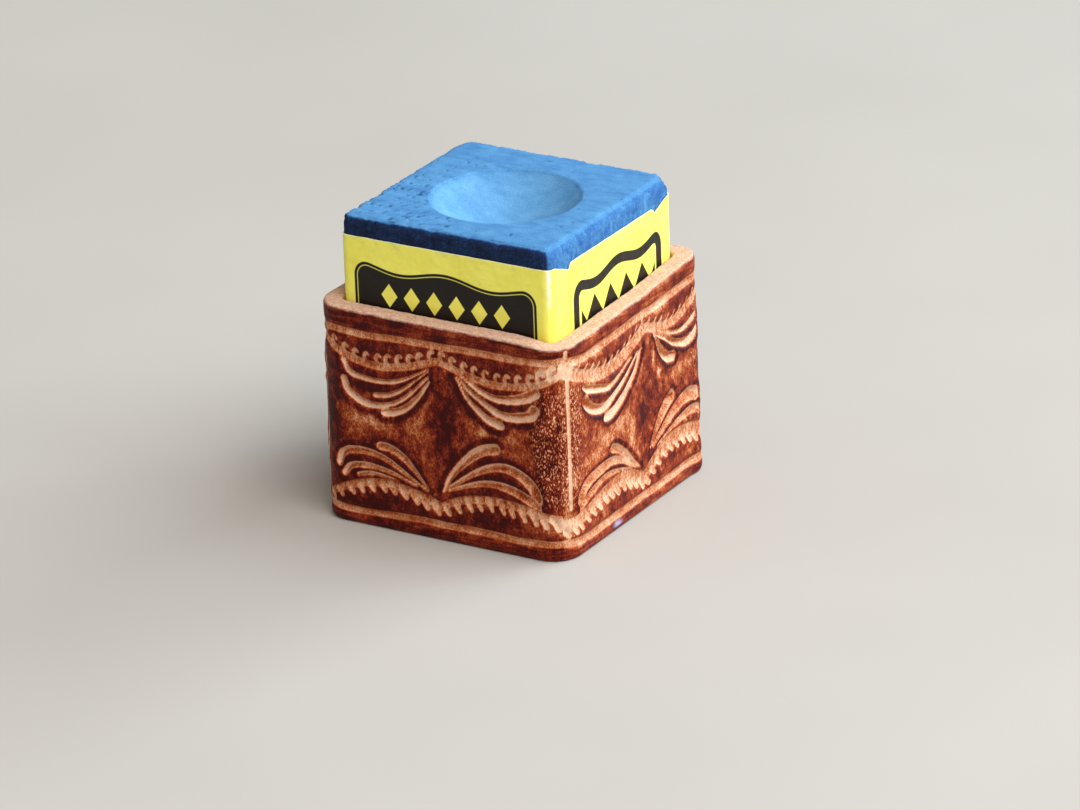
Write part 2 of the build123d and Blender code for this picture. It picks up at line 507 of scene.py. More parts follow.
def label_wear(paint, x, y, z):
    """Where the paper is rubbed white: the upper corners, most at the front right, the edge, and specks."""
    scuffs = paint.noise(1.6, 5.0, 0.75)
    corner = abs(x).smaller(abs(y)).spread(10.66, 10.9)
    near = (x - y).spread(20.9, 21.9, 0.25, 1.0)
    rubbed = corner * near * z.spread(23.6, 25.6) * scuffs.spread(0.4, 0.48)
    specks = scuffs.spread(0.72, 0.76) * z.spread(23.0, 26.0)
    edge = paint.stored("edge") * scuffs.spread(0.4, 0.6, 0.4, 1.0)
    return rubbed.larger(specks).larger(edge)


def label_paper():
    """Yellow printed paper with black plaques, rubbed white at its corners."""
    paint = Paint("label_paper")
    x, y, z = paint.place()
    height = abs(z - PRINT_MIDDLE)
    side_ink = side_print(x, y, height) * (abs(x) > FACE_AT) * (abs(y) < PRINT_FLAT)
    front_ink = front_print(x, height) * (abs(y) > FACE_AT)
    white = label_wear(paint, x, y, z)
    cloud = paint.noise(0.35, 3.0)
    fibre = paint.noise(9.0, 4.0, 0.7)
    paper = cloud.ramp((0.35, 242, 232, 92), (0.65, 248, 242, 107))
    black = fibre.ramp((0.3, 15, 10, 6), (0.7, 26, 19, 12))
    colour = paint.cover(front_ink.larger(side_ink), paper, black)
    colour = paint.cover(white, colour, srgb(236, 234, 222))
    dusty = paint.stored("dusty") * paint.noise(2.0, 4.0, 0.7).spread(0.5, 0.68)
    colour = paint.cover(dusty, colour, srgb(84, 128, 172))
    normal = paint.relief((fibre, 0.015), (cloud, 0.25))
    rough = white * 0.3 + fibre.spread(0.3, 0.7, 0.34, 0.46)
    return paint.finish(colour, rough, normal, specular=0.28)


# ---- the tooling of the sleeve
# How far the creases at each side's right lie beyond the bend's middle: back, left, front, right
CREASE_SHIFT = (0.2, -0.3, 0.95, 0.0)

# The creases up a corner: their points, across from there and up, then their width and depth
CREASES = [([(0.0, 18.7), (0.05, 12.0), (0.0, 5.2)], 0.44, 0.3), ([(-0.1, 20.15), (-0.1, 20.9)], 0.5, 0.2)]

# How open the grain is at each side's right-hand corner
CORNER_PORES = np.array((0.9, 0.1, 1.0, 0.5))

# How far each side's right-hand corner stands out beyond a true arc, at the foot and at the rim
CORNER_FILL = np.array([(0.15, 0.05), (0.1, 0.0), (0.0, 0.0), (0.5, 0.2)])

# How far the hand-cut rim rises above its mean height, at numbers of sides round from the seam
RIM_AT = np.array((0.0, 0.5, 1.0, 1.45, 2.0, 2.28, 2.5, 2.62, 3.0, 3.5, 4.0))
RIM_RISE = np.array((0.25, 0.1, 0.0, 0.12, 0.0, 0.0, -0.38, -0.36, -0.1, 0.55, 0.25))

# Marks of the border tools along a garland or arch, from its edge
HOOK = [(-0.2, -0.2), (-0.27, 0.35), (-0.05, 0.74), (0.24, 0.6)]
TOOTH = [(-0.12, -0.3), (0.0, 0.3), (0.1, 0.8)]
LOBE = [(-0.34, 0.4), (-0.06, 0.0), (0.22, -0.5)]
PEG = [(-0.18, 0.4), (-0.05, -0.1), (0.12, -0.5)]
MARK_PITCH = 1.12
HANGING_MARK = (0.48, 0.44)  # width and depth of the garlands' marks
ARCH_MARK = (0.72, 0.5)
GARLAND_DEPTH, ARCH_DEPTH, BORDER_DEPTH = 0.3, 0.28, 0.3
RIDGE = 0.1  # how far the leather swells beside a stroke
RIB_PITCH = 0.56  # of the faint ribs across a garland or arch
EASED = (10.5, 12.4)  # places from the side's middle between which the tools ease off
WORN_REACH = 2.2  # a worn place ends at this many times its half-width and half-height

# Each tooled side. Across is from the side's middle, to the right.
# top, foot: where its two garlands and its two arches meet
# hang, rise: how far each garland hangs, or each arch with a minus, and how its furthest place leans
# bands: for each half, how wide the garland's smooth part is, how tall its marks are, and the arch's same two
# upper, lower, lines: the paths of the two border lines, and their widths
# marks: the marks along the garlands and along the arches
# outline: how wide the dark line of pooled dye and painted shade lies beside a stroke
# dyed: dye left in the inner part of a stroke, which also sets the painted shade across it, in the border
# lines, in the bands and in the marks
# painted_sheen: how much paler the side's plain surface is painted, as a painted sheen
# worn: where dye has rubbed thin, or with a minus lies thick: middle, half-width, half-height and amount
# strokes: the width of each, then its points from its blunt end to its tip
SIDE_A = {
    "top": [(-12.73, 18.0), (0.05, 17.45), (12.73, 18.2)],
    "hang": [(1.95, 0.85), (1.6, 1.1)],
    "foot": [(-12.73, 2.85), (0.05, 3.85), (12.73, 4.7)],
    "rise": [(-1.68, 0.95), (-1.27, 0.76)],
    "bands": [(0.85, 0.92, 0.85, 0.7), (0.8, 1.0, 0.9, 1.05)],
    "upper": [(-12.73, 19.2), (-8.0, 19.08), (-4.0, 19.24), (0.0, 19.41), (8.0, 19.5), (12.73, 20.1)],
    "lower": [
        (-12.73, 1.55), (-10.0, 1.33), (-6.0, 1.5), (-2.0, 1.68), (3.0, 1.66), (8.0, 1.66), (12.73, 1.8),
    ],
    "lines": (0.82, 0.84),
    "marks": (HOOK, LOBE),
    "outline": 1.4,
    "dyed": (0.4, 0.32, 0.33, 0.22),
    "painted_sheen": 0.0,
    "worn": [
        (-7.6, 10.7, 3.3, 1.2, 0.3), (-2.4, 10.6, 1.4, 2.6, 0.27), (-1.3, 14.4, 0.6, 1.5, 0.26),
        (4.7, 12.0, 2.3, 0.9, 0.36), (8.8, 10.6, 2.4, 2.2, 0.2), (1.0, 13.2, 1.2, 3.2, -0.3),
        (-7.3, 14.0, 2.3, 0.5, -0.4), (-10.9, 13.6, 0.5, 1.6, -0.3), (6.6, 14.6, 2.0, 0.4, -0.3),
        (-8.3, 2.6, 2.6, 0.6, -0.3), (4.6, 3.0, 2.6, 0.5, -0.25), (12.0, 19.0, 2.2, 0.7, 0.5),
        (12.2, 3.5, 2.2, 1.1, 0.34), (-12.0, 11.5, 1.3, 4.5, -0.3), (3.2, 9.9, 1.4, 0.5, 0.35),
        (-9.0, 18.9, 1.0, 0.35, 0.2),
    ],
    "strokes": [
        (0.72, (-10.0, 16.25), (-9.45, 15.25), (-8.1, 14.85), (-6.3, 14.78), (-4.5, 15.08), (-2.8, 15.85),
         (-0.95, 16.95)),
        (0.92, (-10.0, 14.4), (-9.75, 13.5), (-9.1, 12.95), (-8.0, 12.45), (-6.8, 12.35), (-5.5, 12.6),
         (-3.6, 13.6), (-0.9, 16.2)),
        (0.6, (-6.7, 13.35), (-5.5, 13.55), (-4.3, 14.1), (-3.1, 14.95), (-0.9, 16.75)),
        (0.88, (-5.75, 11.8), (-4.8, 12.0), (-3.8, 12.45), (-2.8, 13.25), (-1.9, 14.25), (-0.8, 15.8)),
        (1.12, (10.45, 16.8), (9.4, 16.1), (8.0, 15.55), (6.2, 15.35), (4.5, 15.85), (2.5, 16.95)),
        (1.15, (10.3, 15.1), (9.9, 14.45), (8.9, 14.05), (7.7, 13.8), (6.6, 13.9), (5.0, 14.65),
         (3.6, 15.5), (2.2, 16.75)),
        (0.98, (6.65, 12.8), (5.5, 13.1), (4.2, 13.95), (3.1, 15.0), (2.1, 16.65)),
        (0.86, (-6.4, 8.35), (-5.3, 8.3), (-4.3, 7.85), (-3.4, 7.15), (-2.5, 6.2), (-1.3, 4.9)),
        (0.92, (-10.95, 5.95), (-10.65, 6.8), (-9.9, 7.3), (-8.8, 7.5), (-7.5, 7.5), (-5.8, 7.1),
         (-3.8, 6.05), (-1.5, 4.75)),
        (0.74, (-10.4, 4.95), (-9.8, 5.7), (-8.7, 6.05), (-7.5, 6.12), (-6.0, 5.98), (-4.5, 5.65),
         (-2.6, 5.0)),
        (0.5, (-8.9, 5.05), (-7.5, 5.4), (-5.9, 5.33), (-4.5, 5.15)),
        (1.15, (6.0, 10.3), (4.8, 10.0), (3.4, 9.1), (2.15, 7.9), (1.05, 6.5), (0.35, 5.1)),
        (1.2, (10.35, 6.15), (9.9, 7.2), (8.8, 8.1), (7.1, 8.6), (5.3, 8.3), (3.3, 7.25), (0.9, 5.55)),
        (1.05, (10.25, 5.35), (9.3, 5.95), (7.6, 6.55), (5.7, 6.75), (3.7, 6.4), (0.9, 5.25)),
    ],
}
SIDE_B = {
    "top": [(-12.73, 18.5), (2.2, 17.5), (12.73, 17.65)],
    "hang": [(2.12, 1.1), (1.5, 1.05)],
    "foot": [(-12.73, 4.25), (1.35, 4.0), (12.73, 4.8)],
    "rise": [(-1.42, 1.6), (-1.5, 0.9)],
    "bands": [(1.38, 0.5, 1.45, 0.62), (1.02, 0.5, 1.5, 0.55)],
    "upper": [
        (-12.73, 20.1), (-11.0, 19.8), (-9.0, 19.45), (-6.0, 19.37), (0.0, 19.5), (4.0, 19.38),
        (9.0, 19.28), (12.73, 19.35),
    ],
    "lower": [
        (-12.73, 1.8), (-11.0, 1.7), (-8.5, 1.45), (-4.0, 1.57), (4.0, 1.53), (9.0, 1.6), (12.73, 1.55),
    ],
    "lines": (0.98, 0.98),
    "marks": (TOOTH, PEG),
    "outline": 1.0,
    "dyed": (0.35, 0.28, 0.26, 0.12),
    "painted_sheen": 0.14,
    "worn": [
        (-3.2, 10.6, 2.1, 1.2, 0.42), (-7.4, 9.4, 2.4, 1.8, 0.2), (-0.7, 8.8, 0.8, 1.4, 0.34),
        (3.35, 14.5, 0.35, 0.9, 0.5), (4.4, 12.9, 0.45, 0.9, 0.6), (8.6, 11.6, 2.2, 1.1, 0.34),
        (1.5, 10.6, 1.0, 2.6, -0.24), (-12.6, 19.0, 2.0, 0.7, 0.5), (-12.4, 3.6, 1.8, 1.0, 0.34),
        (4.8, 19.0, 1.4, 0.4, 0.3), (-6.8, 18.9, 1.0, 0.3, 0.25), (8.5, 2.9, 2.0, 0.4, 0.2),
    ],
    "strokes": [
        (0.98, (-9.1, 16.7), (-8.3, 16.05), (-7.1, 15.6), (-5.9, 15.18), (-4.8, 14.85), (-3.8, 14.92),
         (-2.6, 15.3), (-0.6, 16.15)),
        (1.18, (-9.1, 15.2), (-8.7, 14.6), (-7.8, 13.9), (-6.8, 13.4), (-5.8, 13.2), (-4.8, 13.38),
         (-3.8, 13.75), (-2.4, 14.3), (-0.9, 15.2), (0.6, 16.25)),
        (1.2, (-5.35, 12.2), (-4.6, 12.12), (-3.6, 12.35), (-2.4, 12.9), (-1.2, 13.7), (-0.2, 14.5),
         (0.5, 15.4), (1.2, 16.4)),
        (0.66, (11.3, 15.75), (10.4, 15.35), (9.4, 15.15), (8.2, 15.25), (7.0, 15.6), (5.7, 16.2),
         (4.4, 16.8)),
        (1.0, (11.6, 14.3), (10.7, 13.8), (9.6, 13.68), (8.4, 14.05), (7.1, 14.65), (6.0, 15.45),
         (4.6, 16.3), (3.6, 16.85)),
        (1.16, (7.0, 13.3), (6.2, 13.5), (5.3, 14.2), (4.5, 15.3), (3.85, 16.6)),
        (0.98, (-4.4, 8.5), (-3.6, 8.2), (-2.8, 7.65), (-1.9, 6.95), (-1.0, 6.05), (0.3, 4.85)),
        (1.2, (-10.3, 5.6), (-9.9, 6.4), (-9.0, 6.95), (-7.6, 7.2), (-6.2, 7.32), (-5.0, 7.38),
         (-3.9, 7.15), (-2.7, 6.65), (-1.6, 5.95), (-0.4, 5.2)),
        (0.88, (-10.2, 4.85), (-9.2, 5.4), (-8.0, 5.8), (-6.8, 6.08), (-5.5, 6.22), (-4.1, 6.05),
         (-2.7, 5.7), (-1.1, 5.15)),
        (1.36, (6.5, 9.5), (5.6, 9.15), (4.5, 8.35), (3.5, 7.3), (2.5, 6.0)),
        (1.46, (10.9, 8.1), (10.0, 8.4), (8.7, 8.35), (7.4, 8.05), (6.1, 7.55), (4.7, 6.9), (3.0, 5.9)),
        (0.98, (11.8, 6.2), (11.1, 6.6), (10.0, 6.75), (8.7, 6.65), (7.3, 6.45), (5.9, 6.15), (3.8, 5.6)),
    ],
}
SIDES = (SIDE_A, SIDE_B, SIDE_A, SIDE_B)


def on_sleeve(s, inset=0.0):
    """Points at arc length s round the sleeve's outer face, moved inwards by inset. s is 0 at the seam."""
    return round_square(s, HALF, CORNER, inset)


def right_corner(s):
    """Which side's right-hand corner arc length s belongs to."""
    return np.clip(s // QUARTER, 0, 3).astype(int)


def corner_fill(s, z):
    """How far the hide stands out at arc length s and height z because its corners aren't true arcs."""
    turn = np.maximum(np.abs(off_middle(s, QUARTER)) - (HALF - CORNER), 0) / CORNER
    foot, rim = CORNER_FILL[right_corner(s)].T
    return (rim + (foot - rim) * (1 - z / HEIGHT) ** 2) * np.sin(2 * turn)


def rim_rise(s):
    """How far the rim rises at arc length s, in smooth steps."""
    x = np.asarray(s) / QUARTER
    n = np.clip(np.searchsorted(RIM_AT, x, side="right") - 1, 0, len(RIM_AT) - 2)
    share = smoothstep(0, 1, (x - RIM_AT[n]) / (RIM_AT[n + 1] - RIM_AT[n]))
    return RIM_RISE[n] + (RIM_RISE[n + 1] - RIM_RISE[n]) * share


def from_line(line, x, z):
    """Each place's distance from a line, 1 outside its bend or -1 inside, and its share of the way along."""
    steps = np.diff(line, axis=0)
    turning = np.sum(steps[:-1, 0] * steps[1:, 1] - steps[:-1, 1] * steps[1:, 0])
    outer = -np.sign(turning) or 1.0
    away, hand, along = np.full(x.shape, 1e9), np.zeros(x.shape), np.zeros(x.shape)
    for n, (start, step) in enumerate(zip(line, steps)):
        dx, dz = x - start[0], z - start[1]
        t = np.clip((dx * step[0] + dz * step[1]) / (step @ step), 0, 1)
        gap = np.hypot(dx - t * step[0], dz - t * step[1])
        nearer = gap < away
        away = np.where(nearer, gap, away)
        hand = np.where(nearer, outer * np.sign(step[0] * dz - step[1] * dx), hand)
        along = np.where(nearer, (n + t) / len(steps), along)
    return away, hand, along


def half_wave(x):
    """1 at 0, falling smoothly to 0 at 1."""
    return 0.5 + 0.5 * np.cos(np.pi * np.clip(x, 0, 1))


def soften(field):
    """A grid's values, each blended with its neighbours'."""
    for _ in range(2):
        padded = np.pad(field, ((1, 1), (0, 0)), mode="edge")
        field = (0.5 * field + 0.25 * (padded[:-2] + padded[2:])).T
    return field


def raise_to(field, at, values):
    """Raises a grid's values where they are lower."""
    field[at] = np.maximum(field[at], values)


class Hide:
    """The strip's outer face as a grid of rows up and columns along, and what the tools did to it."""

    def __init__(self, s, z):
        self.s, self.z = s, z
        shape = (len(z), len(s))
        self.depth, self.pits = np.zeros(shape), np.zeros(shape)
        self.ridge = np.zeros(shape)  # how far it swells beside a stroke
        self.dye_pool_and_shade = np.zeros(shape)  # the dark line beside a stroke: pooled dye and painted shade
        self.near = np.zeros(shape)  # the pale band beside that line
        self.worn = np.zeros(shape)
        self.cut = np.full(shape, -0.5)  # distance inside the edge of a tool mark, negative outside
        self.wash = np.full(shape, 0.1)  # how much dye stayed in the mark, and the painted highlight and shade across a stroke

    def patch(self, side, low, high):
        """Index of the grid's points in a box on a side, and their places from the side's middle."""
        across = (self.s - side * QUARTER + LENGTH / 2) % LENGTH - LENGTH / 2
        cols = np.nonzero((across > low[0]) & (across < high[0]))[0]
        rows = np.nonzero((self.z > low[1]) & (self.z < high[1]))[0]
        x, z = np.meshgrid(across[cols], self.z[rows])
        return np.ix_(rows, cols), x, z

    def column(self, side, left, right):
        """The same, over the full height."""
        return self.patch(side, (left, -1.0), (right, HEIGHT + 1.0))

    def mark(self, at, inside, wash, over=False):
        """Notes how far inside a mark's edge points are, and the dye left there."""
        covered = inside > (-0.03 if over else np.maximum(self.cut[at], -0.2))
        self.wash[at] = np.where(covered, wash, self.wash[at])
        raise_to(self.cut, at, inside)

    def press(self, side, points, width, depth, tip=0.3, ridge=0.0, lean=0.2, inner_dye=0.5, outline=1.0):
        """Presses a stroke, deepest at lean of the way to its outer edge, which narrows to tip of its width.
        With a ridge the leather swells round it. Without one it is a mark laid over others."""
        line = smooth_line(points)
        reach = width / 2 + (2.6 if ridge else 0.1)
        at, x, z = self.patch(side, line.min(0) - reach, line.max(0) + reach)
        away, hand, along = from_line(line, x, z)
        half = width / 2 * (1 - (1 - tip) * along**2)
        q = hand * away / half  # from -1 at the inner edge to 1 at the outer one
        shape = np.where(q > lean, half_wave((q - lean) / (1 - lean)), half_wave((lean - q) / (1 + lean)))
        raise_to(self.depth, at, depth * (1 - 0.4 * along) * (shape * (away < half)))
        # a ridged stroke is left pale at its outer edge and darker over its inner half: dye wash plus painted
        # highlight and shade of its channel
        furrow_shade = 0.03 + inner_dye * (smoothstep(0.38, -0.15, q) - 0.55 * smoothstep(-0.55, -0.9, q))
        self.mark(at, half * 0.97 - away, furrow_shade if ridge else inner_dye, over=not ridge)
        if ridge:
            self.edge_stroke(at, away - half, q, ridge, outline)

    def edge_stroke(self, at, beyond, q, ridge, outline):
        """The ridge, the dark line of pooled dye and painted shade, and the pale band round a stroke, weaker
        on its inner side.
        """
        outside = np.where(q > 0, 1.0, 0.35)
        raise_to(self.ridge, at, ridge * (outside * plateau(beyond, 0.0, 0.15, 0.35, 0.95)))
        dark = outside * smoothstep(0.0, 0.12, beyond) * (1 - smoothstep(0.28, 0.78, beyond / outline))
        raise_to(self.dye_pool_and_shade, at, dark)
        raise_to(self.near, at, np.exp(-(((beyond - 1.35) / 0.5) ** 2)) * (q > 0))

    def band(self, side, edge, low, high, ends, depth, wash):
        """Presses the smooth part of a garland or arch: from low to high, measured from its edge line."""
        at, x, z = self.column(side, *ends)
        up = z - edge(x)
        inside = plateau(up, low - 0.07, low + 0.1, high - 0.12, high + 0.1)
        raise_to(self.depth, at, depth * inside * self.easing(x))
        rib = 0.06 * np.cos(2 * np.pi * x / RIB_PITCH)
        self.mark(at, np.minimum(up - low, high - up), wash + rib)

    def border(self, side, path, width, depth, wash):
        """Presses one side's part of a border line, along a path of places across and up."""
        at, x, z = self.column(side, -QUARTER / 2, QUARTER / 2)
        middle = np.interp(x, *zip(*path)) + 0.03 * np.sin(self.s[at[1]] * 0.83)
        off = np.abs(z - middle)
        shape = 1 - smoothstep(0.5, 1.15, off / (width / 2))
        raise_to(self.depth, at, depth * shape * self.easing(x))
        self.mark(at, width / 2 - 0.04 - off, wash)

    def easing(self, across):
        """Tools press less hard round the corners."""
        return 1 - 0.75 * smoothstep(*EASED, np.abs(across))

    def finish(self):
        """Works out the hide's places, relief, dye with painted shade and sheen, wash with painted shade, and
        pores, with the unevenness of real leather.
        """
        s, z = np.meshgrid(self.s, self.z)
        self.place = np.dstack([on_sleeve(s), z])

        def uneven(scale, octaves, seed, upright=1.0):
            return grain(self.place.reshape(-1, 3) * (1, 1, upright), scale, octaves, seed).reshape(s.shape)

        self.lumps = uneven(0.5, 3, seed=1)
        creases = uneven(2.2, 2, seed=2, upright=0.35)
        patches = uneven(0.42, 3, seed=3, upright=0.5)
        flecks = uneven(1.7, 3, seed=4, upright=0.55)

        pressed = smoothstep(0.02, 0.2, self.depth)
        ridge = soften(self.ridge * (1 - pressed))
        edge_fade = plateau(z, 0.0, 0.5, HEIGHT - 0.45, HEIGHT)
        relief = soften(self.depth) + self.pits - ridge + 0.025 * self.lumps + 0.018 * creases * (1 - pressed)
        self.relief = np.maximum(SKIN + relief * edge_fade, 0.0)

        # dye: full on ridges, patchy on the plain surface, little where the leather is pressed down, with
        # painted shade in the dark line beside strokes and a painted sheen paling some sides
        from_middle = np.abs(off_middle(s, QUARTER))
        middle = plateau(z, 4.8, 6.0, 16.6, 18.0)
        painted_sheen = np.array([pattern["painted_sheen"] for pattern in SIDES])[np.round(s / QUARTER).astype(int) % 4]
        self.pores = smoothstep(8.6, 11.2, from_middle) * CORNER_PORES[right_corner(s)] * middle
        self.pores = self.pores * (0.8 + 0.3 * patches)
        # some sides' plain surface is painted paler: a painted sheen
        plain = 0.84 - painted_sheen + 0.2 * patches + 0.16 * flecks - self.worn * (0.9 + 0.8 * flecks)
        plain = plain - 0.1 * self.near + 0.04 * self.pores
        # the dark line beside strokes is pooled dye and painted shade
        self.dye = np.maximum(plain, self.dye_pool_and_shade * (1.02 + 0.3 * patches + 0.25 * flecks))
        self.dye = np.where(self.pits > 0.2, 0.95, self.dye)
        wash = self.wash + 0.12 * flecks + 0.08 * patches - 0.6 * np.maximum(self.worn, 0)
        self.wash = np.where(self.pits > 0.2, 0.6, wash)


def hanging(a, b, sag, lean):
    """A curve from point a to b that sags, or with a negative sag rises, between them."""

    def edge(x):
        t = np.clip((x - a[0]) / (b[0] - a[0]), 0, 1)
        return a[1] + (b[1] - a[1]) * t - sag * np.sin(np.pi * t**lean)

    return edge


def border_marks(hide, side, half, shape, tall, edge, start, ends, size):
    """A row of marks along a garland or arch, as uneven as hand-struck ones."""
    width, depth = size
    count = int(round((ends[1] - ends[0]) / MARK_PITCH))
    for k in range(count):
        x = ends[0] + (k + 0.5) * (ends[1] - ends[0]) / count
        wobble = 0.06 * math.sin(7.3 * k + side + 2 * half)
        nudge = 0.07 * math.sin(4.1 * k + 3 * side)
        points = [(x + dx + nudge, edge(x + dx) + start + dz * tall + wobble) for dx, dz in shape]
        swing = 1 + 0.12 * math.sin(5.7 * k + half)
        mark_dye = SIDES[side]["dyed"][3]
        hide.press(side, points, width * swing, depth, tip=0.8, lean=0.0, inner_dye=mark_dye)


def tool_side(hide, side):
    """All the tooling of one side, and the creases of the corner on its right."""
    pattern = SIDES[side]
    inner_dye, border_dye, band_dye, _ = pattern["dyed"]
    look = {"inner_dye": inner_dye, "outline": pattern["outline"]}
    for width, *points in pattern["strokes"]:
        hide.press(side, points, width, depth=0.46 + 0.16 * width, ridge=RIDGE, **look)
    for path, width in zip((pattern["upper"], pattern["lower"]), pattern["lines"]):
        hide.border(side, path, width, BORDER_DEPTH, border_dye)
    for n in range(2):
        above, hook_tall, below, lobe_tall = pattern["bands"][n]
        left, right = pattern["top"][n : n + 2]
        ends = (left[0], right[0])
        garland = hanging(left, right, *pattern["hang"][n])
        hide.band(side, garland, 0.0, above, ends, GARLAND_DEPTH, band_dye)
        left, right = pattern["foot"][n : n + 2]
        arch_ends = (left[0], right[0])
        arch = hanging(left, right, *pattern["rise"][n])
        hide.band(side, arch, -below, 0.0, arch_ends, ARCH_DEPTH, band_dye * 1.25)
        hook, lobe = pattern["marks"]
        border_marks(hide, side, n, hook, hook_tall, garland, above, ends, HANGING_MARK)
        border_marks(hide, side, n, lobe, lobe_tall, arch, -below, arch_ends, ARCH_MARK)
    corner = QUARTER / 2 + CREASE_SHIFT[side]
    for path, width, depth in CREASES:
        points = [(corner + x, z) for x, z in path]
        hide.press(side, points, width, depth, tip=1.0, lean=0.0, inner_dye=0.02)
    for x, z, wide, tall, amount in pattern["worn"]:
        half = WORN_REACH * np.array((wide, tall))
        at, across, up = hide.patch(side, (x, z) - half, (x, z) + half)
        hide.worn[at] += amount * np.exp(-(((across - x) / wide) ** 2) - ((up - z) / tall) ** 2)


def stitch_holes(hide):
    for side_x in (-STITCH_SIDE, STITCH_SIDE):
        for z in STITCH_ROWS:
            at, x, up = hide.patch(BACK, (side_x - 1.2, z - 1.2), (side_x + 1.2, z + 1.2))
            away = np.hypot(x - side_x, up - z)
            raise_to(hide.depth, at, 0.1 * np.exp(-((away / 0.7) ** 2)))
            bore = 0.85 * np.sqrt(np.clip(1 - (away / STITCH_HOLE) ** 2, 0, 1))
            raise_to(hide.pits, at, bore)


# ---- the sleeve
OUTSIDE = ("foot", "face", "brow")
DUST_SMEAR = (-4.0, 0.75, 0.95, 0.42)  # on the right: its place, then its half-width and half-height


def sleeve_profile():
    """The cross-section as (inset, height, zone) rows: up the outside, over the rim and down the inside."""
    rows = [(side, up, "foot") for side, up in rounding(FOOT_ROUND, 6)[:-1]]
    rows += [(0.0, z, "face") for z in np.linspace(FOOT_ROUND, HEIGHT - TOP_ROUND, FACE_ROWS)]
    rows += [(side, HEIGHT - down, "brow") for down, side in rounding(TOP_ROUND, 6)[1:]]
    rows += [(inset, HEIGHT, "rim") for inset in np.linspace(TOP_ROUND, WALL - INNER_ROUND, 10)[1:]]
    rows += [(WALL - side, HEIGHT - down, "lip") for side, down in rounding(INNER_ROUND, 4)[1:]]
    at_lacing = [z + step for z in STITCH_ROWS for step in (-0.56, -0.44, 0, 0.44, 0.56)]
    heights = sorted(np.linspace(0.6, 20.6, 14).tolist() + at_lacing)
    rows += [(WALL, z, "inside") for z in reversed(heights)]
    rows += [(inset, 0.0, "sole") for inset in (WALL, 1.6, 1.2, 0.9)]
    return rows


def lace_groove(s, z, into):
    """The inside face, cut back where the lacing crosses it."""
    length, width, depth = LACE_GROOVE
    from_seam = np.minimum(s, LENGTH - s)
    in_row = min(abs(z - row) for row in STITCH_ROWS) < width / 2
    return np.where(in_row & (from_seam < length / 2), into - depth, into)


def sleeve_row(hide, n, s, inset, z, zone):
    """Row n of the profile, at arc lengths s: its points and what the mesh stores there."""
    none = np.zeros(s.shape)
    look = {"dye": none, "wash": none, "cut": none - 0.5, "pores": none, "raw": none + 1, "dust": none}
    into, up = none + inset, none + z
    if zone in OUTSIDE:
        into = into + hide.relief[n] * (1 - smoothstep(0, TOP_ROUND, into)) - corner_fill(s, z)
        look.update(dye=hide.dye[n], wash=hide.wash[n], cut=hide.cut[n], pores=hide.pores[n], raw=none)
    if zone == "brow":
        turned = (z - HEIGHT + TOP_ROUND) / TOP_ROUND
        look["raw"] = smoothstep(0.5, 0.7, turned + 0.09 * grain(hide.place[n], 1.2, 3, seed=5))
    if zone == "sole":
        look["dye"] = none + 0.5
    if zone == "inside":
        into, look["raw"] = lace_groove(s, z, into), none + 0.85
    if zone == "face":
        at, middle, wide, tall = DUST_SMEAR
        away = np.hypot((s - RIGHT * QUARTER - at) / wide, (z - middle) / tall)
        look["dust"] = 0.8 * (1 - smoothstep(0.3, 1.1, away + 0.35 * hide.lumps[n]))
    if zone in ("brow", "rim", "lip"):
        place = at_height(on_sleeve(s, into), up)
        frayed = grain(place, 1.5, 3, seed=6) + 0.6 * grain(place, 5.0, 2, seed=7)
        up = up + 0.022 * frayed - 0.03
        into = into + (0.03 * frayed if zone == "lip" else 0)
    flat = np.clip(on_sleeve(s, into), -HALF, HALF)
    return at_height(flat, up + rim_rise(s) * z / HEIGHT), look


def build_sleeve(material):
    """The tooled strip, bent square, with its two ends at the seam."""
    s_fine = np.linspace(SEAM_GAP / 2, LENGTH - SEAM_GAP / 2, STRIP_STEPS + 1)
    profile = sleeve_profile()
    hide = Hide(s_fine, np.array([z for _, z, zone in profile if zone in OUTSIDE]))
    for side in range(4):
        tool_side(hide, side)
    stitch_holes(hide)
    hide.finish()

    points, looks, rows, count = [], [], [], 0
    for n, (inset, z, zone) in enumerate(profile):
        s = s_fine[::3] if zone in ("inside", "sole") else s_fine
        place, look = sleeve_row(hide, n, s, inset, z, zone)
        points.append(place)
        looks.append(look)
        rows.append(list(range(count, count + len(s))))
        count += len(s)
    faces = []
    for a, b in zip(rows, rows[1:] + rows[:1]):
        faces += bridge(a, b, closed=False)
    faces.append([row[0] for row in rows])
    faces.append([row[-1] for row in rows[::-1]])
    stored = {key: np.concatenate([look[key] for look in looks]) for key in SLEEVE_LOOK}
    verts = np.vstack(points)
    make_piece("tooled_sleeve", verts, faces, material, "holder", ["sleeve"], stored)


# ---- lacing
def lace_route():
    """The lacing's corners: level on the inside, and climbing a row at a time outside."""
    inside, outside = THREAD_INSIDE, HALF + THREAD_LIFT
    corners = []
    for row, z in enumerate(STITCH_ROWS):
        if row:
            corners.append((STITCH_SIDE, outside, z))
        corners += [(STITCH_SIDE, inside, z), (-STITCH_SIDE, inside, z)]
        if row < len(STITCH_ROWS) - 1:
            corners.append((-STITCH_SIDE, outside, z))
    return np.array(corners)


def round_bends(corners, bend, spacing):
    """Evenly spaced points along a path whose corners are rounded off from bend before to bend after."""
    points = [corners[0]]
    for before, at, after in zip(corners, corners[1:], corners[2:]):
        start = at + (before - at) / np.linalg.norm(before - at) * bend
        end = at + (after - at) / np.linalg.norm(after - at) * bend
        for t in np.linspace(0, 1, 9):
            points.append(start * (1 - t) ** 2 + 2 * at * t * (1 - t) + end * t**2)
    points = np.array(points + [corners[-1]])
    way = np.concatenate([[0], np.cumsum(np.linalg.norm(np.diff(points, axis=0), axis=1))])
    even = np.linspace(0, way[-1], int(way[-1] / spacing) + 1)
    return np.column_stack([np.interp(even, way, points[:, k]) for k in range(3)])


